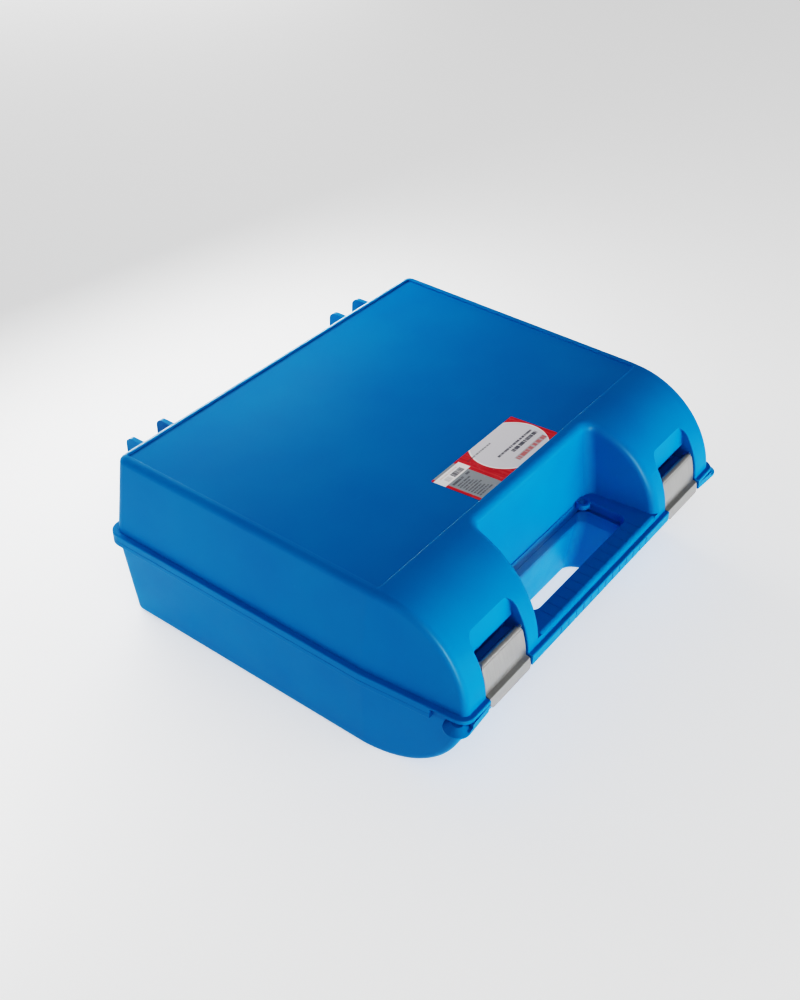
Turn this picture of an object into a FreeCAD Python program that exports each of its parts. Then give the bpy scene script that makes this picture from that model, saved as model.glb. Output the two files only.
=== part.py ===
import FreeCAD, Part
import math
import os

# A hard carrying case for a hand tool: two nearly equal moulded half shells that close
# on a level parting plane, hinged along the back and held shut by two sheet-metal latches.
# +X is to the right of someone who faces the handle, +Y runs to the hinges, +Z is up.
# The origin is on the floor under the middle of the case's bounding box. Millimetres.

# ---- driving dimensions ----
HALF_HEIGHT = 65.1          # one half shell, parting plane to outer face
SEAM_GAP = 0.3              # lid to base, all round
HALF_WIDTH = 161.0          # at the parting plane
SIDE_DRAFT = 4.6            # how much narrower each side is at the outer face
REAR_Y = 112.0              # rear wall at the parting plane
REAR_DRAFT = 6.6
CREASE_Y = -97.0            # from here the side walls turn in towards the handle
FRONT_HALF_WIDTH = 154.6
FRONT_AXIS_Y = -103.0       # axis of the quarter round that is the front
REAR_CORNER = 7.0
FRONT_CORNER = 5.0
CREASE_RADIUS = 14.0
RIM_ROUND = 4.4             # rounding of the outer face's edges
WALL = 2.5
OUTER_WALL = 3.7            # wall under the outer face, before its panel is sunk
FRONT_Y = FRONT_AXIS_Y - HALF_HEIGHT
BASE_FRONT_BACK = 2.7       # the base's curved front stands this far behind the lid's

PANEL_HALF_X, PANEL_HALF_Y, PANEL_DEPTH = 150.0, 100.75, 1.2
PANEL_CORNER, PANEL_EDGE = 1.5, 0.5

# recess for the hand, and the hole that goes right through the case
BAY_REAR_Y, BAY_FLOOR_Z = -109.2, 9.4
BAY_REAR_HALF, BAY_FRONT_HALF = 67.5, 73.5
LID_BAY_SLOPE, LID_BAY_NARROW = 8.4, 0.0    # lean of the rear wall and of the end walls
BASE_BAY_SLOPE, BASE_BAY_NARROW = 9.0, 8.9  # the base's walls run straight to the hole
BAY_CORNER = 7.0
BAY_MOUTH_ROUND = 6.0
HOLE_HALF_X, HOLE_REAR_Y, HOLE_FRONT_Y = 59.5, -118.2, -153.6
HOLE_CORNER = 7.0
LID_UNDERCUT, BASE_UNDERCUT = 2.0, 0.0      # end walls stand back under the bay floor
FLOOR_PLATE = 2.4
BAR_EDGE_ROUND = 3.2
BAR_FRONT_Y, BAR_HALF_X = FRONT_Y + 0.3, 72.5

# flanges at the parting plane, and the lid's skirt in front of the base's flange
LID_FLANGE_SIDE, LID_FLANGE_FRONT, LID_FLANGE_HIGH = 3.6, 3.1, 5.5
BASE_FLANGE_SIDE, BASE_FLANGE_FRONT, BASE_FLANGE_HIGH = 3.6, 1.6, 3.8
FLANGE_EDGE = 0.8
SKIRT_THICK, SKIRT_BOTTOM = 1.1, -2.0
LATCH_LAND_FRONT = 1.1      # the base's flange stands out only this far under a latch
LOCATING_LIP_HIGH, LOCATING_LIP_THICK, LOCATING_LIP_GAP = 3.0, 1.4, 0.8
LIP_ROOT_LOW, LIP_ROOT_HIGH, LIP_FRONT_CUT = -6.0, -3.0, 40.0

# cut-away flanges at the front corners with a finger notch, and the base's lugs under them
NOTCH_REAR_Y, NOTCH_ROOF_Z, NOTCH_INNER_X = -146.5, 2.8, 133.8
THUMB_FRONT_Y, THUMB_ROOF_Z = -156.5, 4.3
LUG_X, LUG_Y, LUG_RADIUS, LUG_CROWN_RADIUS = 156.5, -163.8, 8.6, 3.8
LUG_BOTTOM, LUG_SHOULDER, LUG_TOP = -2.8, -1.9, 1.5
ARM_X, ARM_Y, ARM_TOP = 135.0, -171.1, -0.6
ARM_WALL_END_X, ARM_WALL_THICK, ARM_WALL_TOP = 153.0, 2.0, 2.4
LUG_PLAY = 0.5              # above the parting plane, lug to the lid's wall

# hinges: standing fins with an eye at the parting plane
HINGE_Y, HINGE_Z = 124.5, 0.0
FIN_X = (93.5, 121.5)
FIN_THICK, FIN_GAP = 3.6, 0.6
FIN_TIP_Y, FIN_HIGH = 133.0, 50.1
FIN_TIP_ROUND, FIN_NECK_ROUND = 5.5, 10.0
FIN_NECK_Z = 14.0
FIN_FOOT = 0.1              # the fins stop this much short of their own parting face
FIN_ROOT_SINK = 1.2
EYE_RADIUS = 5.2
PIN_RADIUS, PIN_FIT, PIN_PLAY = 2.0, 0.02, 0.06
STOP_WEB_REACH, STOP_WEB_Z, STOP_WEB_THICK = 6.0, 10.0, 2.4
HEAD_RADIUS, HEAD_THICK = 3.2, 1.2
PIN_TAIL, PIN_HEAD_GAP = 0.8, 0.2

# rings for a small padlock or a cable tie, at the rear corners of the hand hole
TIE_X, TIE_Y, TIE_OUTER, TIE_BORE = 54.3, -121.2, 5.3, 3.1
TIE_LOW, TIE_TOP, TIE_EDGE = 7.2, 11.0, 0.5

# latches
LATCH_X = 110.9
LATCH_HALF, SLOT_HALF = 21.6, 22.9
LATCH_SHEET = 1.1
LATCH_SUNK = 1.2            # the plate lies this far inside the curved front
LATCH_PIN_RADIUS, LATCH_PIN_Z = 1.2, 23.8
SLOT_DEPTH = 2.8            # pocket wall behind the plate, below the curved front
SLOT_FLOOR_Z = 17.5
SLOT_BACK_Y, SLOT_BROW_Z = -149.0, 29.2     # deep part behind the top of the plate
SLOT_BROW_Y = -153.2        # foot of the finger recess's rear wall, above the deep part
SLOT_TOP_Y, SLOT_TOP_Z = -150.15, 44.5      # where that wall leaves the curved front
SLOT_OVER = 6.0
SLOT_CORNER = 8.0
SLOT_MOUTH_ROUND = 0.6
POCKET_WALL = 2.2
LEDGE_Z = 5.2
STRIP_TOP = (-169.8, 4.4)   # (y, z) of the pull strip's outer face
STRIP_FOOT = (-171.4, -3.0)
STRIP_CORNER, LATCH_CORNER, BEND = 3.5, 4.0, 0.9

# cross grooves of the grip
GROOVE_PITCH, GROOVE_WIDE, GROOVE_COUNT = 9.2, 0.7, 13
GROOVE_TOP_DEEP, GROOVE_FRONT_DEEP = 0.15, 0.5

# label on the lid, cut a little out of square
LABEL_REAR_Y, LABEL_FRONT_Y, LABEL_SKEW = -65.5, -100.2, 3.5
LABEL_HALF, LABEL_MID_X, LABEL_THICK, LABEL_CORNER = 46.3, -2.4, 0.2, 1.0

Y_SHIFT = (-LUG_Y + LUG_RADIUS - FIN_TIP_Y) / 2     # drawing's datum to mid depth
BEYOND = 40.0               # cutters run past the surface that they open
PAST = 1.0                  # or only this far, where something else is near
FAR = 400.0                 # longer than the case
TOUCH = 0.001               # closer than this counts as the same place


def vec(x, y, z):
    return FreeCAD.Vector(x, y, z)


def rounded_wire(corners, place):
    """Closed wire through corners (a, b, radius); place turns (a, b) into a point."""
    edges = []
    ends = []
    count = len(corners)
    for i, (a, b, radius) in enumerate(corners):
        here = vec(a, b, 0)
        to_last = vec(*corners[i - 1][:2], 0) - here
        to_next = vec(*corners[(i + 1) % count][:2], 0) - here
        to_last.normalize()
        to_next.normalize()
        half = to_last.getAngle(to_next) / 2
        if radius == 0:
            ends.append((here, here))
            continue
        run = radius / math.tan(half)
        middle = to_last + to_next
        middle.normalize()
        centre = here + middle * (radius / math.sin(half))
        top = centre - middle * radius
        first, last = here + to_last * run, here + to_next * run
        ends.append((first, last))
        edges.append(Part.Arc(place(first), place(top), place(last)).toShape())
    for i in range(count):
        start, end = ends[i][1], ends[(i + 1) % count][0]
        if (end - start).Length > 1e-6:
            edges.append(Part.makeLine(place(start), place(end)))
    return Part.Wire(Part.__sortEdges__(edges))


def plan_prism(corners, z_low, z_high):
    """Upright solid over a rounded outline in the XY plane."""
    wire = rounded_wire(corners, lambda p: vec(p.x, p.y, z_low))
    return Part.Face(wire).extrude(vec(0, 0, z_high - z_low))


def side_prism(corners, x_low, x_high):
    """Solid along X over a rounded outline of (y, z) corners."""
    wire = rounded_wire(corners, lambda p: vec(x_low, p.x, p.y))
    return Part.Face(wire).extrude(vec(x_high - x_low, 0, 0))


def front_prism(corners, y_low, y_high):
    """Solid along Y over a rounded outline of (x, z) corners."""
    wire = rounded_wire(corners, lambda p: vec(p.x, y_low, p.y))
    return Part.Face(wire).extrude(vec(0, y_high - y_low, 0))


def rod(radius, x_low, x_high, y, z):
    return Part.makeCylinder(radius, x_high - x_low, vec(x_low, y, z), vec(1, 0, 0))


def box(x_low, x_high, y_low, y_high, z_low, z_high):
    size = (x_high - x_low, y_high - y_low, z_high - z_low)
    return Part.makeBox(*size, vec(x_low, y_low, z_low))


def flip_x(shape):
    return shape.mirror(vec(0, 0, 0), vec(1, 0, 0))


def flip_z(shape):
    return shape.mirror(vec(0, 0, 0), vec(0, 0, 1))


def both_sides(shape):
    return [shape, flip_x(shape)]


def middle_of(edge):
    return edge.valueAt((edge.FirstParameter + edge.LastParameter) / 2)


def fuse(shapes):
    return shapes[0].fuse(shapes[1:]).removeSplitter()


# ---- the half shell, drawn with its parting plane at z = 0 ----

def outline(side, front, rear, narrow=0.0, corner_grow=0.0):
    """Plan of a half shell, grown by side, front and rear; narrow takes the draft off."""
    half, rear_y = HALF_WIDTH + side - narrow, REAR_Y + rear
    front_half = FRONT_HALF_WIDTH + side - narrow
    return [
        (half, rear_y, REAR_CORNER + corner_grow),
        (-half, rear_y, REAR_CORNER + corner_grow),
        (-half, CREASE_Y, CREASE_RADIUS),
        (-front_half, FRONT_Y - front, FRONT_CORNER + corner_grow),
        (front_half, FRONT_Y - front, FRONT_CORNER + corner_grow),
        (half, CREASE_Y, CREASE_RADIUS),
    ]


def drafted_sides(inset, low, high):
    """The side and rear walls: a loft that narrows on its way up and has no front of its own."""
    wires = []
    for z in (low, high):
        part = z / HALF_HEIGHT
        corners = outline(-inset, BEYOND, -inset - REAR_DRAFT * part, SIDE_DRAFT * part, -inset)
        turn_in = (HALF_WIDTH - FRONT_HALF_WIDTH) * BEYOND / (CREASE_Y - FRONT_Y)
        for i, sign in ((3, -1), (4, 1)):
            x, y, radius = corners[i]
            corners[i] = (x - sign * turn_in, y, radius)
        wires.append(rounded_wire(corners, lambda p, z=z: vec(p.x, p.y, z)))
    return Part.makeLoft(wires, True, True)


def block(inset, top_inset, low, rounding, back):
    """Outer form of a half shell, or with insets the space inside it; back shifts its front."""
    top = HALF_HEIGHT - top_inset
    radius = HALF_HEIGHT - inset
    axis_y = FRONT_AXIS_Y + back
    foot = axis_y - radius
    start_y = axis_y - math.sqrt(radius ** 2 - top ** 2)
    angle = (math.asin(top / radius)) / 2
    middle = vec(0, axis_y - radius * math.cos(angle), radius * math.sin(angle))
    edges = [
        Part.Arc(vec(0, foot, 0), middle, vec(0, start_y, top)).toShape(),
        Part.makeLine(vec(0, start_y, top), vec(0, REAR_Y + BEYOND, top)),
        Part.makeLine(vec(0, REAR_Y + BEYOND, top), vec(0, REAR_Y + BEYOND, low)),
        Part.makeLine(vec(0, REAR_Y + BEYOND, low), vec(0, foot, low)),
    ]
    if low != 0:
        edges.append(Part.makeLine(vec(0, foot, low), vec(0, foot, 0)))
    profile = Part.Face(Part.Wire(Part.__sortEdges__(edges)))
    reach = HALF_WIDTH + BEYOND
    profile.translate(vec(-reach, 0, 0))
    solid = profile.extrude(vec(2 * reach, 0, 0)).common(drafted_sides(inset, low, top + PAST))
    return round_rim(solid, axis_y, radius, top, rounding) if rounding else solid


def round_rim(solid, axis_y, radius, top, rounding):
    """Rounds the edges between the outer face or the curved front and the side and rear walls."""
    rim = []
    for edge in solid.Edges:
        mid = middle_of(edge)
        on_top = abs(mid.z - top) < TOUCH
        on_front = abs(math.hypot(mid.y - axis_y, mid.z) - radius) < TOUCH and mid.z > 1
        crosses = abs(mid.x) < 1 and mid.y < 0
        if (on_top or on_front) and not crosses:
            rim.append(edge)
    return solid.makeFillet(rounding, rim)


def bay_outline(z, grow, slope, narrow):
    """Plan of the hand recess at height z; slope leans its rear wall, narrow its end walls."""
    part = (HALF_HEIGHT - z) / (HALF_HEIGHT - BAY_FLOOR_Z)
    spread = (BAY_FRONT_HALF - BAY_REAR_HALF) / (BAY_REAR_Y - FRONT_Y)
    rear_y = BAY_REAR_Y - slope * part + grow
    front_y = FRONT_Y - BEYOND
    half = BAY_REAR_HALF - narrow * part + grow
    rear_half = half + spread * (BAY_REAR_Y - rear_y)
    front_half = half + spread * (BAY_REAR_Y - front_y)
    corner = max(BAY_CORNER - grow, 1.0)
    return [
        (rear_half, rear_y, corner),
        (-rear_half, rear_y, corner),
        (-front_half, front_y, 0),
        (front_half, front_y, 0),
    ]


def bay(grow, slope, narrow):
    """Recess for the hand, open to the front and to the outer face."""
    wires = []
    for z in (BAY_FLOOR_Z - grow, HALF_HEIGHT + BEYOND):
        corners = bay_outline(z, grow, slope, narrow)
        wires.append(rounded_wire(corners, lambda p, z=z: vec(p.x, p.y, z)))
    return Part.makeLoft(wires, True, True)


def round_mouth(outer, axis_y):
    """Rounds the edges where the recess breaks through the outer face and the curved front."""
    mouth = []
    for edge in outer.Edges:
        mid = middle_of(edge)
        on_top = abs(mid.z - HALF_HEIGHT) < TOUCH
        on_front = abs(math.hypot(mid.y - axis_y, mid.z) - HALF_HEIGHT) < TOUCH
        inside = abs(mid.x) < BAY_FRONT_HALF + 2 and mid.y < BAY_REAR_Y + 3
        if inside and mid.z > BAY_FLOOR_Z + TOUCH and (on_top or on_front):
            mouth.append(edge)
    return outer.makeFillet(BAY_MOUTH_ROUND, mouth)


def sink_panel(outer):
    """Sinks the flat panel into the outer face and softens the step's upper edge."""
    low, high = HALF_HEIGHT - PANEL_DEPTH, HALF_HEIGHT + PAST
    corners = [
        (PANEL_HALF_X, PANEL_HALF_Y, PANEL_CORNER),
        (-PANEL_HALF_X, PANEL_HALF_Y, PANEL_CORNER),
        (-PANEL_HALF_X, -PANEL_HALF_Y, PANEL_CORNER),
        (PANEL_HALF_X, -PANEL_HALF_Y, PANEL_CORNER),
    ]
    sunk = outer.cut(plan_prism(corners, low, high))
    step = []
    for edge in sunk.Edges:
        mid = middle_of(edge)
        within = abs(mid.x) < PANEL_HALF_X + TOUCH and abs(mid.y) < PANEL_HALF_Y + TOUCH
        if within and abs(mid.z - HALF_HEIGHT) < TOUCH:
            step.append(edge)
    return sunk.makeFillet(PANEL_EDGE, step)


def hole(grow, ends):
    """Plan of the hand hole; ends moves its two end walls outwards."""
    half = HOLE_HALF_X + grow + ends
    return [
        (half, HOLE_REAR_Y + grow, HOLE_CORNER),
        (-half, HOLE_REAR_Y + grow, HOLE_CORNER),
        (-half, HOLE_FRONT_Y - grow, HOLE_CORNER),
        (half, HOLE_FRONT_Y - grow, HOLE_CORNER),
    ]


def bar_edge(back):
    """What the rounding takes off the grip's long outer edge."""
    y, z = BAR_FRONT_Y + back + BAR_EDGE_ROUND, BAY_FLOOR_Z - BAR_EDGE_ROUND
    corner = box(-BAR_HALF_X, BAR_HALF_X, FRONT_Y - PAST, y, z, BAY_FLOOR_Z + PAST)
    return corner.cut(rod(BAR_EDGE_ROUND, -BAR_HALF_X, BAR_HALF_X, y, z))


def half_shell(low, slope, narrow, undercut, back):
    """Hollow half with the hand recess, its hole and the half of the grip, from low upwards."""
    solid = block(0, 0, 0, RIM_ROUND, back).cut(bay(0, slope, narrow))
    outer = round_mouth(solid, FRONT_AXIS_Y + back)
    outer = sink_panel(outer)
    pillar = plan_prism(hole(WALL, undercut), -PAST, BEYOND)
    inner = block(WALL, OUTER_WALL, -PAST, 0, back).cut([bay(WALL, slope, narrow), pillar])
    opening = plan_prism(hole(0, 0), -PAST, BAY_FLOOR_Z + PAST)
    under = plan_prism(hole(0, undercut), -PAST, BAY_FLOOR_Z - FLOOR_PLATE)
    shell = outer.cut([inner, opening, under, bar_edge(back)])
    if low > 0:
        shell = shell.cut(box(-FAR, FAR, -FAR, FAR, -PAST, low))
    return shell


def flange(side, front, low, high, back):
    """Rim round the parting plane, from inside the wall outwards, softened away from the seam."""
    outer = plan_prism(outline(side, front, side, corner_grow=side), low, high)
    edges = []
    for edge in outer.Edges:
        if edge.BoundBox.ZLength < TOUCH and middle_of(edge).z > low + TOUCH:
            edges.append(edge)
    inset = -WALL / 2
    inside = plan_prism(outline(inset, inset - back, inset), low, high)
    return outer.makeFillet(FLANGE_EDGE, edges).cut(inside)


def corner_notch(front_y, low, high, back):
    """Space outside the walls, from the notch's rear end forwards as far as front_y."""
    space = box(NOTCH_INNER_X, FAR, front_y, NOTCH_REAR_Y, low, high)
    return space.cut(plan_prism(outline(0, -back, 0), low, high))


def fin(x, low):
    """Standing fin with the hinge eye at its foot."""
    corners = [
        (REAR_Y - FIN_ROOT_SINK, low, 0),
        (HINGE_Y + EYE_RADIUS, low, 0),
        (FIN_TIP_Y, FIN_NECK_Z, FIN_NECK_ROUND),
        (FIN_TIP_Y, FIN_HIGH, FIN_TIP_ROUND),
        (REAR_Y - FIN_ROOT_SINK - REAR_DRAFT * FIN_HIGH / HALF_HEIGHT, FIN_HIGH, 0),
    ]
    x_low, x_high = x - FIN_THICK / 2, x + FIN_THICK / 2
    web = side_prism(corners, x_low, x_high)
    return web.fuse(rod(EYE_RADIUS, x_low, x_high, HINGE_Y, HINGE_Z))


def hinge_bore(radius):
    """Bore through all eyes of one hinge."""
    reach = 2 * FIN_THICK
    return rod(radius, FIN_X[0] - reach, FIN_X[1] + reach, HINGE_Y, HINGE_Z)


# ---- lid ----

def on_front(radius, z):
    """Point (0, y, z) on a cylinder about the front's axis."""
    return vec(0, FRONT_AXIS_Y - math.sqrt(radius ** 2 - z ** 2), z)


def slot_profile(grow):
    """Side view of a latch pocket: behind the plate, behind its curl and the finger recess."""
    radius = HALF_HEIGHT - SLOT_DEPTH - grow
    floor = SLOT_FLOOR_Z - grow
    foot, end = on_front(radius, 0), on_front(radius, floor)
    slope = (SLOT_TOP_Y - SLOT_BROW_Y) / (SLOT_TOP_Z - SLOT_BROW_Z)
    high = SLOT_TOP_Z + SLOT_OVER + grow
    brow = SLOT_BROW_Z + grow
    chain = [
        end,
        vec(0, SLOT_BACK_Y + grow, floor),
        vec(0, SLOT_BACK_Y + grow, brow),
        vec(0, SLOT_BROW_Y + slope * grow + grow, brow),
        vec(0, SLOT_TOP_Y + slope * (SLOT_OVER + grow) + grow, high),
        vec(0, FRONT_Y - BEYOND, high),
        vec(0, FRONT_Y - BEYOND, -BEYOND),
        vec(0, foot.y, -BEYOND),
        foot,
    ]
    arc = Part.Arc(foot, on_front(radius, floor / 2), end).toShape()
    lines = [Part.makeLine(a, b) for a, b in zip(chain, chain[1:])]
    return Part.Face(Part.Wire([arc] + lines))


def slot_solid(grow, half, top):
    """Latch pocket at its place, with rounded upper corners in front view."""
    profile = slot_profile(grow)
    profile.translate(vec(LATCH_X - half, 0, 0))
    solid = profile.extrude(vec(2 * half, 0, 0))
    corners = [
        (LATCH_X - half, -BEYOND, 0),
        (LATCH_X + half, -BEYOND, 0),
        (LATCH_X + half, top, SLOT_CORNER),
        (LATCH_X - half, top, SLOT_CORNER),
    ]
    return solid.common(front_prism(corners, FRONT_Y - BEYOND, FRONT_AXIS_Y + BEYOND))


def latch_pivot():
    """Pin centre (0, y, z): the plate's curl is tangent to the plate's outer face there."""
    curl = LATCH_PIN_RADIUS + PIN_PLAY + LATCH_SHEET
    return on_front(HALF_HEIGHT - LATCH_SUNK - curl, LATCH_PIN_Z)


def tie_ring():
    """Small ring that stands in the rear corner of the hand hole."""
    ring = Part.makeCylinder(TIE_OUTER, TIE_TOP - TIE_LOW, vec(TIE_X, TIE_Y, TIE_LOW))
    rims = []
    for edge in ring.Edges:
        if edge.BoundBox.ZLength < TOUCH and middle_of(edge).z > TIE_LOW + TOUCH:
            rims.append(edge)
    return ring.makeFillet(TIE_EDGE, rims)


def tie_bore():
    return Part.makeCylinder(TIE_BORE, 2 * BEYOND, vec(TIE_X, TIE_Y, -BEYOND))


def grip_grooves():
    """Fine cross grooves over the grip's upper face and down the lid's front flange."""
    face_y = FRONT_Y - LID_FLANGE_FRONT
    grooves = []
    for i in range(GROOVE_COUNT):
        x = (i - (GROOVE_COUNT - 1) / 2) * GROOVE_PITCH
        low, high = x - GROOVE_WIDE / 2, x + GROOVE_WIDE / 2
        top_z = BAY_FLOOR_Z - GROOVE_TOP_DEEP
        grooves.append(box(low, high, FRONT_Y, HOLE_FRONT_Y - PAST, top_z, BAY_FLOOR_Z + PAST))
        front_y = face_y + GROOVE_FRONT_DEEP
        foot = SKIRT_BOTTOM - PAST
        grooves.append(box(low, high, face_y - PAST, front_y, foot, LID_FLANGE_HIGH - FLANGE_EDGE))
    return grooves


def lid_rim():
    """The lid's flange, cut away over the finger notches, with the skirt along its front."""
    ring = flange(LID_FLANGE_SIDE, LID_FLANGE_FRONT, SEAM_GAP, LID_FLANGE_HIGH, 0)
    ring = ring.cut(both_sides(corner_notch(-FAR, -BEYOND, NOTCH_ROOF_Z, 0)))
    ring = ring.cut(both_sides(corner_notch(THUMB_FRONT_Y, -BEYOND, THUMB_ROOF_Z, 0)))
    face_y = FRONT_Y - LID_FLANGE_FRONT
    reach = LATCH_X - SLOT_HALF
    high = LID_FLANGE_HIGH - FLANGE_EDGE
    return ring.fuse(box(-reach, reach, face_y, face_y + SKIRT_THICK, SKIRT_BOTTOM, high))


def lid_fins():
    """Outer fins of both hinges, each pair joined by the web that stops the opened lid."""
    fins = []
    for x in FIN_X:
        fins += both_sides(fin(x, SEAM_GAP + FIN_FOOT))
    rear = REAR_Y - REAR_DRAFT / 3
    web = box(FIN_X[0], FIN_X[1], rear, HINGE_Y + STOP_WEB_REACH, STOP_WEB_Z, STOP_WEB_Z + STOP_WEB_THICK)
    return fins + both_sides(web)


def carved_block():
    """Outer form of the lid with both latch recesses, their mouths softened."""
    carved = block(0, 0, 0, 0, 0).cut(both_sides(slot_solid(0, SLOT_HALF, SLOT_TOP_Z)))
    mouth = []
    for edge in carved.Edges:
        mid = middle_of(edge)
        on_curve = abs(math.hypot(mid.y - FRONT_AXIS_Y, mid.z) - HALF_HEIGHT) < TOUCH
        if on_curve and abs(abs(mid.x) - LATCH_X) < SLOT_HALF + TOUCH and mid.z > 1:
            mouth.append(edge)
    return carved.makeFillet(SLOT_MOUTH_ROUND, mouth)


def make_lid():
    shell = half_shell(SEAM_GAP, LID_BAY_SLOPE, LID_BAY_NARROW, LID_UNDERCUT, 0)
    carved = carved_block()
    boss = slot_solid(POCKET_WALL, SLOT_HALF + POCKET_WALL, SLOT_TOP_Z + 2 * POCKET_WALL)
    walls = fuse([shell] + both_sides(boss)).common(carved)
    lid = fuse([walls, lid_rim()] + lid_fins() + both_sides(tie_ring()))
    cuts = both_sides(slot_solid(0, SLOT_HALF, SLOT_TOP_Z)) + both_sides(tie_bore()) + grip_grooves()
    pin = latch_pivot()
    reach = SLOT_HALF + POCKET_WALL + PAST
    cuts += both_sides(rod(LATCH_PIN_RADIUS + PIN_FIT, LATCH_X - reach, LATCH_X + reach, pin.y, pin.z))
    cuts += both_sides(hinge_bore(PIN_RADIUS + PIN_PLAY))
    skirt_inside = FRONT_Y - LID_FLANGE_FRONT + SKIRT_THICK
    cuts.append(box(-FAR, FAR, skirt_inside, HINGE_Y - EYE_RADIUS - PAST, -BEYOND, SEAM_GAP))
    return lid.cut(cuts)


# ---- base ----

def locating_lip():
    """Upstand inside the lid's walls along the sides and the rear."""
    out = -WALL - LOCATING_LIP_GAP
    outer = plan_prism(outline(out, -LIP_FRONT_CUT, out), LIP_ROOT_LOW, LOCATING_LIP_HIGH)
    inner_out = out - LOCATING_LIP_THICK
    inside = outline(inner_out, BEYOND, inner_out)
    inner = plan_prism(inside, LIP_ROOT_LOW - PAST, LOCATING_LIP_HIGH + PAST)
    foot_out = -WALL / 2
    foot = plan_prism(outline(foot_out, -LIP_FRONT_CUT, foot_out), LIP_ROOT_LOW, LIP_ROOT_HIGH)
    return outer.fuse(foot).cut(inner)


def lug():
    """Corner lug that slopes down outwards, with an arm and its low wall along the front."""
    disc = Part.makeCylinder(LUG_RADIUS, LUG_SHOULDER - LUG_BOTTOM, vec(LUG_X, LUG_Y, LUG_BOTTOM))
    rise = LUG_TOP - LUG_SHOULDER
    crown = Part.makeCone(LUG_RADIUS, LUG_CROWN_RADIUS, rise, vec(LUG_X, LUG_Y, LUG_SHOULDER))
    outer_y = LUG_Y - LUG_RADIUS
    arm = [
        (ARM_X, ARM_Y, 0),
        (LUG_X, outer_y, 0),
        (LUG_X, LUG_Y, 0),
        (ARM_X, LUG_Y, 0),
    ]
    lean = (outer_y - ARM_Y) / (LUG_X - ARM_X)
    end_y = ARM_Y + lean * (ARM_WALL_END_X - ARM_X)
    wall = [
        (ARM_X, ARM_Y, 0),
        (ARM_WALL_END_X, end_y, 0),
        (ARM_WALL_END_X, end_y + ARM_WALL_THICK, 0),
        (ARM_X, ARM_Y + ARM_WALL_THICK, 0),
    ]
    low = plan_prism(arm, LUG_BOTTOM, ARM_TOP)
    body = fuse([disc, crown, low, plan_prism(wall, LUG_BOTTOM, ARM_WALL_TOP)])
    return body.cut(plan_prism(outline(LUG_PLAY, LUG_PLAY, 0, corner_grow=LUG_PLAY), 0, BEYOND))


def latch_land():
    """What is taken off the base's front flange so that a latch can hang in front of it."""
    face_y = FRONT_Y - LATCH_LAND_FRONT
    return box(LATCH_X - SLOT_HALF, LATCH_X + SLOT_HALF, -FAR, face_y, -BEYOND, BEYOND)


def make_base():
    back = BASE_FRONT_BACK
    shell = flip_z(half_shell(0, BASE_BAY_SLOPE, BASE_BAY_NARROW, BASE_UNDERCUT, back))
    rim = flip_z(flange(BASE_FLANGE_SIDE, BASE_FLANGE_FRONT, 0, BASE_FLANGE_HIGH, back))
    rim = rim.cut(both_sides(corner_notch(-FAR, -BEYOND, BEYOND, back)) + both_sides(latch_land()))
    room = flip_z(block(WALL / 2, OUTER_WALL, 0, 0, back))
    lugs = [shape.cut(room) for shape in both_sides(lug())]
    fins = []
    for x in (FIN_X[0] + FIN_THICK + FIN_GAP, FIN_X[1] - FIN_THICK - FIN_GAP):
        fins += both_sides(flip_z(fin(x, SEAM_GAP + FIN_FOOT)))
    base = fuse([shell, rim, locating_lip()] + lugs + fins)
    return base.cut(both_sides(hinge_bore(PIN_RADIUS + PIN_FIT)))


# ---- metal parts ----

def mitre(before, corner, after, thick):
    """Inside corner of a bent sheet whose outer face turns at corner (YZ plane)."""
    normals = []
    for run in (corner - before, after - corner):
        run.normalize()
        normals.append(vec(0, -run.z, run.y))
    return corner + (normals[0] + normals[1]) * (thick / (1 + normals[0].dot(normals[1])))


def latch_profile(pin):
    """Side view of the sheet below the curl: curved plate, ledge and pull strip."""
    outer = HALF_HEIGHT - LATCH_SUNK
    inner = outer - LATCH_SHEET
    start = on_front(outer, LEDGE_Z)
    above = start + vec(0, start.z, FRONT_AXIS_Y - start.y)
    bend, foot = vec(0, *STRIP_TOP), vec(0, *STRIP_FOOT)
    below = foot + (foot - bend)
    chain = [
        start,
        bend,
        foot,
        mitre(bend, foot, below, LATCH_SHEET),
        mitre(start, bend, foot, LATCH_SHEET),
        mitre(above, start, bend, LATCH_SHEET),
    ]
    edges = [Part.makeLine(a, b) for a, b in zip(chain, chain[1:])]
    middle_z = (LEDGE_Z + pin.z) / 2
    out_top, in_top = on_front(outer, pin.z), on_front(inner, pin.z)
    edges.append(Part.Arc(chain[-1], on_front(inner, middle_z), in_top).toShape())
    edges.append(Part.makeLine(in_top, out_top))
    edges.append(Part.Arc(out_top, on_front(outer, middle_z), start).toShape())
    return Part.Face(Part.Wire(Part.__sortEdges__(edges)))


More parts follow.
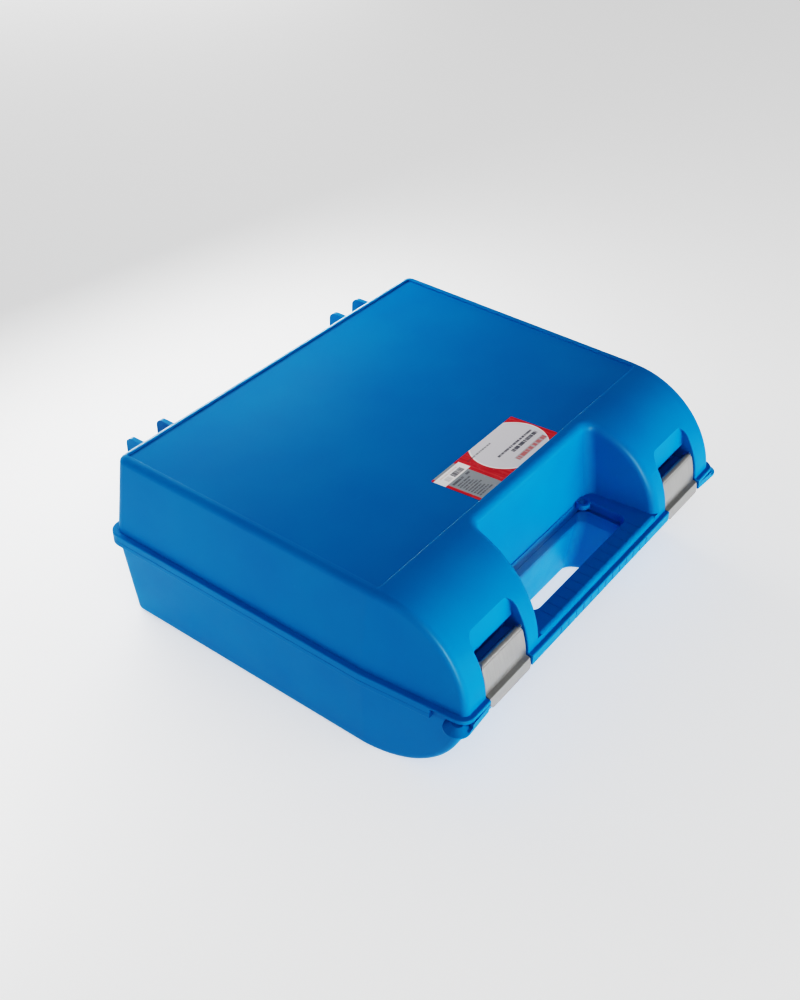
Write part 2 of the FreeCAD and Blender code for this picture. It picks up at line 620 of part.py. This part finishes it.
def make_latch():
    """Right-hand latch: a curl round the pin, the curved plate, a ledge and the pull strip."""
    pin = latch_pivot()
    x_low, x_high = LATCH_X - LATCH_HALF, LATCH_X + LATCH_HALF
    profile = latch_profile(pin)
    profile.translate(vec(x_low, 0, 0))
    plate = profile.extrude(vec(x_high - x_low, 0, 0))
    bends = []
    for edge in plate.Edges:
        mid = middle_of(edge)
        if math.hypot(mid.y - STRIP_TOP[0], mid.z - STRIP_TOP[1]) < TOUCH:
            bends.append(edge)
    plate = plate.makeFillet(BEND, bends)
    bore = LATCH_PIN_RADIUS + PIN_PLAY
    body = plate.fuse(rod(bore + LATCH_SHEET, x_low, x_high, pin.y, pin.z)).removeSplitter()
    body = body.cut(rod(bore, x_low - PAST, x_high + PAST, pin.y, pin.z))
    low, high = body.optimalBoundingBox(True).ZMin, pin.z + bore + LATCH_SHEET
    corners = [
        (x_low, low, STRIP_CORNER),
        (x_high, low, STRIP_CORNER),
        (x_high, high, LATCH_CORNER),
        (x_low, high, LATCH_CORNER),
    ]
    return body.common(front_prism(corners, FRONT_Y - BEYOND, FRONT_AXIS_Y))


def make_latch_pin():
    pin = latch_pivot()
    reach = SLOT_HALF + POCKET_WALL - PIN_HEAD_GAP
    return rod(LATCH_PIN_RADIUS, LATCH_X - reach, LATCH_X + reach, pin.y, pin.z)


def make_hinge_pin():
    """Headed steel pin through the four eyes of one hinge."""
    x_low = FIN_X[0] - FIN_THICK / 2 - PIN_TAIL
    x_high = FIN_X[1] + FIN_THICK / 2 + PIN_HEAD_GAP
    head = rod(HEAD_RADIUS, x_high, x_high + HEAD_THICK, HINGE_Y, HINGE_Z)
    return rod(PIN_RADIUS, x_low, x_high, HINGE_Y, HINGE_Z).fuse(head).removeSplitter()


def make_label():
    rear, front = LABEL_MID_X - LABEL_SKEW / 2, LABEL_MID_X + LABEL_SKEW / 2
    z = HALF_HEIGHT - PANEL_DEPTH
    corners = [
        (rear + LABEL_HALF, LABEL_REAR_Y, LABEL_CORNER),
        (rear - LABEL_HALF, LABEL_REAR_Y, LABEL_CORNER),
        (front - LABEL_HALF, LABEL_FRONT_Y, LABEL_CORNER),
        (front + LABEL_HALF, LABEL_FRONT_Y, LABEL_CORNER),
    ]
    return plan_prism(corners, z, z + LABEL_THICK)


def write(name, shape):
    """Moves a piece from the drawing's datum to the case's own frame and saves it."""
    placed = shape.copy()
    placed.translate(vec(0, Y_SHIFT, HALF_HEIGHT))
    placed.exportStep("parts/" + name + ".step")
    b = placed.optimalBoundingBox(True)
    print(name, "valid", placed.isValid(), "solids", len(placed.Solids), f"cm3 {placed.Volume / 1000:.1f}")
    print(f"  x {b.XMin:.2f} {b.XMax:.2f} y {b.YMin:.2f} {b.YMax:.2f} z {b.ZMin:.2f} {b.ZMax:.2f}")


os.makedirs("parts", exist_ok=True)
write("base_shell", make_base())
write("lid_shell", make_lid())
write("lid_label", make_label())
paired = {"latch_plate": make_latch, "latch_pin": make_latch_pin, "hinge_pin": make_hinge_pin}
for piece, make in paired.items():
    write("right_" + piece, make())
    write("left_" + piece, flip_x(make()))
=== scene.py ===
import math

import bmesh
import bpy
from mathutils import Matrix, Vector

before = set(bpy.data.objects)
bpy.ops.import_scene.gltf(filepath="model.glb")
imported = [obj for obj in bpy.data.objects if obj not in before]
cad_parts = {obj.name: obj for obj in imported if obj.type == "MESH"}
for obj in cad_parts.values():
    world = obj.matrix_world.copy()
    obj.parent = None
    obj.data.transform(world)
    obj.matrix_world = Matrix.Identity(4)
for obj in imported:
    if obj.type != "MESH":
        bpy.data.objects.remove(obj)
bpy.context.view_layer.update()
scene = bpy.context.scene

MM = 0.001

# camera: its place in metres, its turn about Z, how far it looks down, and its roll
CAMERA_AT = (-0.57493, -0.39826, 0.61106)
CAMERA_TURN = math.radians(-54.382)
CAMERA_DOWN = math.radians(38.229)
CAMERA_ROLL = math.radians(1.920)
LENS = 45.595
SENSOR = 36.0
CLIP_NEAR = 0.01
CLIP_FAR = 50.0

FLOOR_HALF = 20.0
FLOOR_GREY = 0.88
FLOOR_GLOW = 0.32
EXPOSURE = 0.45

# the label's printed area: reads with the handle up, from its +X end to its -X end (metres)
PRINT_LEFT_X = 0.0422
PRINT_BOTTOM_Y = -0.0458
PRINT_LEAN = 0.1
# every other number of the label's layout is in millimetres; these reach past all of its edges
PAST_LEFT = -9
PAST_RIGHT = 99
PAST_BOTTOM = -9
PAST_TOP = 44
INK_EDGE = 0.08
SMALL_PRINT_ROWS = 9
SMALL_PRINT_PITCH = 2.0
SMALL_PRINT_HEIGHT = 1.1


def colour(red, green, blue):
    return (red, green, blue, 1.0)


PLASTIC_DEEP = colour(0.0, 0.130, 0.35)
PLASTIC_CLEAR = colour(0.0, 0.145, 0.37)
PLASTIC_SCUFF = colour(0.03, 0.26, 0.68)
PLASTIC_SHINE = colour(0.8, 0.9, 1.0)

STEEL_DULL = colour(0.31, 0.31, 0.31)
BRUSHED_DARKER = 0.82

INK_RED = colour(0.48, 0.018, 0.035)
INK_ORANGE = colour(0.60, 0.06, 0.065)
INK_MAROON = colour(0.50, 0.10, 0.10)
INK_BROWN = colour(0.45, 0.25, 0.15)
INK_GREY = colour(0.27, 0.29, 0.31)
INK_DARK = colour(0.06, 0.06, 0.08)
PAPER_WHITE = colour(0.80, 0.78, 0.78)
PAPER_PALE = colour(0.62, 0.61, 0.64)
PAPER_BARE = colour(0.60, 0.60, 0.62)
PAPER_WORN = colour(0.55, 0.52, 0.50)


class Graph:
    """Short names for shader nodes; values are sockets or plain numbers."""

    def __init__(self, name):
        self.material = bpy.data.materials.new(name)
        self.material.use_nodes = True
        self.tree = self.material.node_tree
        self.shader = self.tree.nodes["Principled BSDF"]

    def put(self, socket, value):
        if isinstance(value, bpy.types.NodeSocket):
            self.tree.links.new(value, socket)
        else:
            socket.default_value = value

    def node(self, kind, inputs=None, **settings):
        made = self.tree.nodes.new("ShaderNode" + kind)
        for key, value in settings.items():
            setattr(made, key, value)
        for key, value in (inputs or {}).items():
            self.put(made.inputs[key], value)
        return made

    def math(self, operation, a, b):
        return self.node("Math", {0: a, 1: b}, operation=operation).outputs[0]

    def add(self, a, b):
        return self.math("ADD", a, b)

    def take(self, a, b):
        return self.math("SUBTRACT", a, b)

    def times(self, a, b):
        return self.math("MULTIPLY", a, b)

    def mix(self, part, a, b):
        made = self.node("Mix", data_type="RGBA")
        self.put(made.inputs["Factor"], part)
        self.put(made.inputs["A"], a)
        self.put(made.inputs["B"], b)
        return made.outputs["Result"]

    def ramp(self, value, low, high, to_low=0.0, to_high=1.0):
        inputs = {"Value": value, "From Min": low, "From Max": high, "To Min": to_low, "To Max": to_high}
        return self.node("MapRange", inputs, clamp=True).outputs["Result"]

    def place(self):
        return self.node("TexCoord").outputs["Object"]

    def joined(self, x, y):
        return self.node("CombineXYZ", {"X": x, "Y": y}).outputs[0]

    def scaled(self, vector, x, y, z):
        made = self.node("Mapping", {"Vector": vector})
        made.inputs["Scale"].default_value = (x, y, z)
        return made.outputs["Vector"]

    def noise(self, vector, scale, detail=3.0, roughness=0.55):
        inputs = {"Vector": vector, "Scale": scale, "Detail": detail, "Roughness": roughness}
        return self.node("TexNoise", inputs).outputs["Fac"]

    def bump(self, height, strength, distance):
        inputs = {"Height": height, "Strength": strength, "Distance": distance}
        return self.node("Bump", inputs).outputs["Normal"]

    def set(self, **values):
        for key, value in values.items():
            self.put(self.shader.inputs[key.replace("_", " ")], value)


def blue_plastic():
    """Moulded plastic: fine grain, faint flow and handling marks, a few lighter scuffs."""
    g = Graph("blue_plastic")
    place = g.place()
    cloud = g.ramp(g.noise(place, scale=14.0, detail=2.0), 0.3, 0.7)
    streak = g.noise(g.scaled(place, 30.0, 260.0, 90.0), scale=1.0, detail=4.0)
    patch = g.ramp(g.noise(place, scale=9.0), 0.5, 0.68)
    scuff = g.times(g.ramp(streak, 0.66, 0.8), patch)
    base = g.mix(cloud, PLASTIC_DEEP, PLASTIC_CLEAR)
    base = g.mix(g.times(scuff, 0.35), base, PLASTIC_SCUFF)
    rough = g.ramp(g.noise(place, scale=40.0, detail=5.0), 0.25, 0.75, 0.30, 0.42)
    g.set(Base_Color=base, Roughness=g.add(rough, g.times(scuff, 0.15)))
    g.set(IOR=1.15, Specular_Tint=PLASTIC_SHINE)
    grain = g.noise(place, scale=1700.0, detail=2.0)
    wave = g.noise(place, scale=24.0, detail=1.0)
    surface = g.add(g.times(grain, 0.12), wave)
    g.set(Normal=g.bump(surface, strength=0.25, distance=0.0012))
    return g.material


def brushed(name, shade, lines, rough):
    """Sheet or wire steel; lines is the scale of its brushing along each axis."""
    g = Graph(name)
    place = g.place()
    hair = g.noise(g.scaled(place, *lines), scale=1.0, detail=4.0, roughness=0.6)
    cloud = g.ramp(g.noise(place, scale=60.0, detail=2.0), 0.35, 0.75, 0.0, 0.25)
    darker = colour(*(part * BRUSHED_DARKER for part in shade))
    tone = g.mix(g.ramp(hair, 0.3, 0.7), darker, colour(*shade))
    g.set(Base_Color=g.mix(cloud, tone, STEEL_DULL))
    g.set(Metallic=0.9, Roughness=g.ramp(hair, 0.3, 0.7, rough - 0.06, rough + 0.08))
    g.set(Normal=g.bump(hair, strength=0.08, distance=0.0003))
    return g.material


class Print(Graph):
    """A printed label; u runs to the right and v upwards, in millimetres."""

    def __init__(self, name):
        super().__init__(name)
        split = self.node("SeparateXYZ", {"Vector": self.place()})
        self.v = self.times(self.take(PRINT_BOTTOM_Y, split.outputs["Y"]), 1 / MM)
        lean = self.times(self.v, PRINT_LEAN)
        self.u = self.add(self.times(self.take(PRINT_LEFT_X, split.outputs["X"]), 1 / MM), lean)
        self.paint = PAPER_BARE

    def between(self, value, low, high):
        rise = self.ramp(value, low - INK_EDGE, low + INK_EDGE)
        fall = self.ramp(value, high - INK_EDGE, high + INK_EDGE, 1.0, 0.0)
        return self.times(rise, fall)

    def area(self, left, right, bottom, top):
        return self.times(self.between(self.u, left, right), self.between(self.v, bottom, top))

    def oval(self, mid_u, mid_v, half_u, half_v):
        across = self.times(self.take(self.u, mid_u), 1 / half_u)
        upward = self.times(self.take(self.v, mid_v), 1 / half_v)
        square = self.add(self.times(across, across), self.times(upward, upward))
        return self.ramp(square, 0.99, 1.01, 1.0, 0.0)

    def ink(self, mask, shade, strength=1.0):
        self.paint = self.mix(self.times(mask, strength), self.paint, shade)

    def strokes(self, area, shade, strength, pitch, seed):
        """Fills an area with uneven strokes, like small print seen from afar."""
        cells = self.joined(self.times(self.u, 1 / pitch), seed)
        broken = self.ramp(self.noise(cells, scale=1.0, detail=2.0), 0.40, 0.50)
        self.ink(self.times(self.area(*area), broken), shade, strength)


def print_ground(p):
    """Red ground with orange swirls."""
    stretched = p.joined(p.times(p.u, 0.55), p.times(p.v, 0.06))
    swirl = p.ramp(p.noise(stretched, scale=1.0, detail=3.0), 0.42, 0.62)
    p.ink(p.area(PAST_LEFT, PAST_RIGHT, PAST_BOTTOM, PAST_TOP), p.mix(swirl, INK_RED, INK_ORANGE))


def print_oval(p):
    """Pale oval with a white rim, a generic mark and three lines of strokes."""
    p.ink(p.oval(30.5, 17.0, 29.0, 24.0), PAPER_WHITE)
    p.ink(p.oval(30.3, 17.0, 28.0, 23.2), PAPER_PALE)
    p.ink(p.area(7.5, 41.5, 27.6, 31.8), INK_DARK, 0.35)
    p.strokes((8.0, 41.0, 28.3, 31.3), INK_MAROON, 0.8, pitch=2.4, seed=3.0)
    p.strokes((6.8, 35.5, 21.3, 24.0), INK_DARK, 0.95, pitch=1.0, seed=1.0)
    p.strokes((6.8, 46.5, 18.2, 19.8), INK_DARK, 0.95, pitch=1.0, seed=2.0)
    p.strokes((35.5, 62.0, 5.7, 6.9), INK_DARK, 0.7, pitch=0.9, seed=5.0)


def print_grey_column(p):
    """Grey column at the label's right, with rows of small strokes."""
    p.ink(p.area(68.0, 90.2, PAST_BOTTOM, PAST_TOP), INK_GREY)
    for row in range(SMALL_PRINT_ROWS):
        top = 32.6 - row * SMALL_PRINT_PITCH
        left = 74.0 + (row % 4) * 1.1
        line = (left, 88.2, top - SMALL_PRINT_HEIGHT, top)
        p.strokes(line, INK_DARK, 0.7, pitch=0.9, seed=row + 6.0)
    p.ink(p.area(70.3, 74.0, 12.2, 13.8), INK_DARK, 0.7)
    p.strokes((77.0, 88.5, 12.4, 14.0), INK_DARK, 0.8, pitch=1.0, seed=20.0)


def print_bar_box(p):
    """White box with fine bars that stand for nothing."""
    p.ink(p.area(65.0, PAST_RIGHT, 1.8, 10.6), PAPER_WHITE)
    p.strokes((69.5, 80.5, 5.4, 9.4), INK_DARK, 0.9, pitch=0.42, seed=31.0)
    p.strokes((82.0, 87.0, 5.4, 9.2), INK_DARK, 0.35, pitch=0.5, seed=37.0)
    p.strokes((70.0, 88.0, 3.2, 4.3), INK_BROWN, 0.35, pitch=0.8, seed=41.0)


def printed_label():
    """Sticker: the four printed parts from the ground up, then wear and a slight gloss."""
    p = Print("printed_paper")
    print_ground(p)
    print_oval(p)
    print_grey_column(p)
    print_bar_box(p)
    wear = p.ramp(p.noise(p.place(), scale=300.0, detail=4.0), 0.60, 0.75, 0.0, 0.18)
    p.set(Base_Color=p.mix(wear, p.paint, PAPER_WORN))
    p.set(Roughness=p.ramp(p.noise(p.place(), scale=90.0), 0.3, 0.7, 0.32, 0.45))
    p.set(Specular_IOR_Level=0.3)
    return p.material


def give(node, material):
    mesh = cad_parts[node].data
    mesh.materials.clear()
    mesh.materials.append(material)


def finish_shells():
    plastic = blue_plastic()
    give("base_shell", plastic)
    give("lid_shell", plastic)


def finish_metal():
    plate = brushed("latch_steel", shade=(0.385, 0.385, 0.38), lines=(2600.0, 60.0, 60.0), rough=0.36)
    pin = brushed("pin_steel", shade=(0.48, 0.48, 0.49), lines=(40.0, 900.0, 900.0), rough=0.30)
    for side in ("right", "left"):
        give(side + "_latch_plate", plate)
        give(side + "_latch_pin", pin)
        give(side + "_hinge_pin", pin)


def camera():
    data = bpy.data.cameras.new("camera")
    data.lens = LENS
    data.sensor_width = SENSOR
    data.sensor_height = SENSOR
    data.sensor_fit = "AUTO"
    data.clip_start = CLIP_NEAR
    data.clip_end = CLIP_FAR
    flat = math.cos(CAMERA_DOWN)
    back = Vector((math.sin(CAMERA_TURN) * flat, -math.cos(CAMERA_TURN) * flat, math.sin(CAMERA_DOWN)))
    right = (-back).cross(Vector((0, 0, 1))).normalized()
    up = right.cross(-back)
    across = math.cos(CAMERA_ROLL) * right + math.sin(CAMERA_ROLL) * up
    upright = -math.sin(CAMERA_ROLL) * right + math.cos(CAMERA_ROLL) * up
    turn = Matrix((across, upright, back)).transposed().to_4x4()
    eye = bpy.data.objects.new("camera", data)
    eye.matrix_world = Matrix.Translation(CAMERA_AT) @ turn
    scene.collection.objects.link(eye)
    scene.camera = eye


def floor():
    bm = bmesh.new()
    bmesh.ops.create_grid(bm, x_segments=1, y_segments=1, size=FLOOR_HALF)
    mesh = bpy.data.meshes.new("floor")
    bm.to_mesh(mesh)
    bm.free()
    piece = bpy.data.objects.new("floor", mesh)
    scene.collection.objects.link(piece)
    g = Graph("floor_paper")
    g.set(Base_Color=colour(FLOOR_GREY, FLOOR_GREY, FLOOR_GREY), Roughness=0.9, Specular_IOR_Level=0.1)
    g.set(Emission_Color=colour(1, 1, 1), Emission_Strength=FLOOR_GLOW)
    mesh.materials.append(g.material)


def area_light(name, place, target, size, power, diffuse=True, glossy=True):
    """A rectangular lamp of size (width, height) metres that faces its target."""
    data = bpy.data.lights.new(name, "AREA")
    data.shape = "RECTANGLE"
    data.size, data.size_y = size
    data.energy = power
    lamp = bpy.data.objects.new(name, data)
    lamp.visible_diffuse = diffuse
    lamp.visible_glossy = glossy
    lamp.location = place
    lamp.rotation_euler = (Vector(target) - Vector(place)).to_track_quat("-Z", "Y").to_euler()
    scene.collection.objects.link(lamp)


def soft_lights():
    """Lamps that shade the case and make no reflections."""
    area_light("front", (0.30, -1.5, 0.12), (0, 0, 0.07), size=(1.5, 0.30), power=27, glossy=False)
    area_light("rear", (0.05, 0.36, 0.28), (0, 0.05, 0.10), size=(0.5, 0.15), power=1.7, glossy=False)
    area_light("left", (-0.42, 0.17, 0.10), (-0.15, 0.08, 0.07), size=(0.3, 0.15), power=0.2, glossy=False)
    area_light("high", (-0.50, -0.5, 0.85), (0, -0.1, 0.07), size=(0.5, 0.5), power=1.8, glossy=False)


def line_lights():
    """Lamps that only draw pale lines of reflection along the moulded edges."""
    area_light("edge", (-1.0, -1.25, 0.45), (-0.15, -0.13, 0.08), size=(0.12, 0.9), power=60, diffuse=False)
    area_light("rim", (0.9, 1.5, 0.13), (0, 0, 0.12), size=(1.2, 0.18), power=30, diffuse=False)


def sky(zenith, horizon, haze):
    """Grey studio surround, pale at the horizon and even above the height haze."""
    world = bpy.data.worlds.new("studio")
    world.use_nodes = True
    tree = world.node_tree
    back = tree.nodes["Background"]
    coords = tree.nodes.new("ShaderNodeTexCoord")
    split = tree.nodes.new("ShaderNodeSeparateXYZ")
    height = tree.nodes.new("ShaderNodeMapRange")
    mix = tree.nodes.new("ShaderNodeMix")
    mix.data_type = "RGBA"
    mix.inputs["A"].default_value = colour(horizon, horizon, horizon)
    mix.inputs["B"].default_value = colour(zenith, zenith, zenith)
    height.inputs["From Max"].default_value = haze
    tree.links.new(coords.outputs["Generated"], split.inputs["Vector"])
    tree.links.new(split.outputs["Z"], height.inputs["Value"])
    tree.links.new(height.outputs["Result"], mix.inputs["Factor"])
    tree.links.new(mix.outputs["Result"], back.inputs["Color"])
    scene.world = world


finish_shells()
finish_metal()
give("lid_label", printed_label())

camera()
floor()
soft_lights()
line_lights()
sky(zenith=0.14, horizon=0.45, haze=0.10)
scene.view_settings.view_transform = "Filmic"
scene.view_settings.look = "Very High Contrast"
scene.view_settings.exposure = EXPOSURE
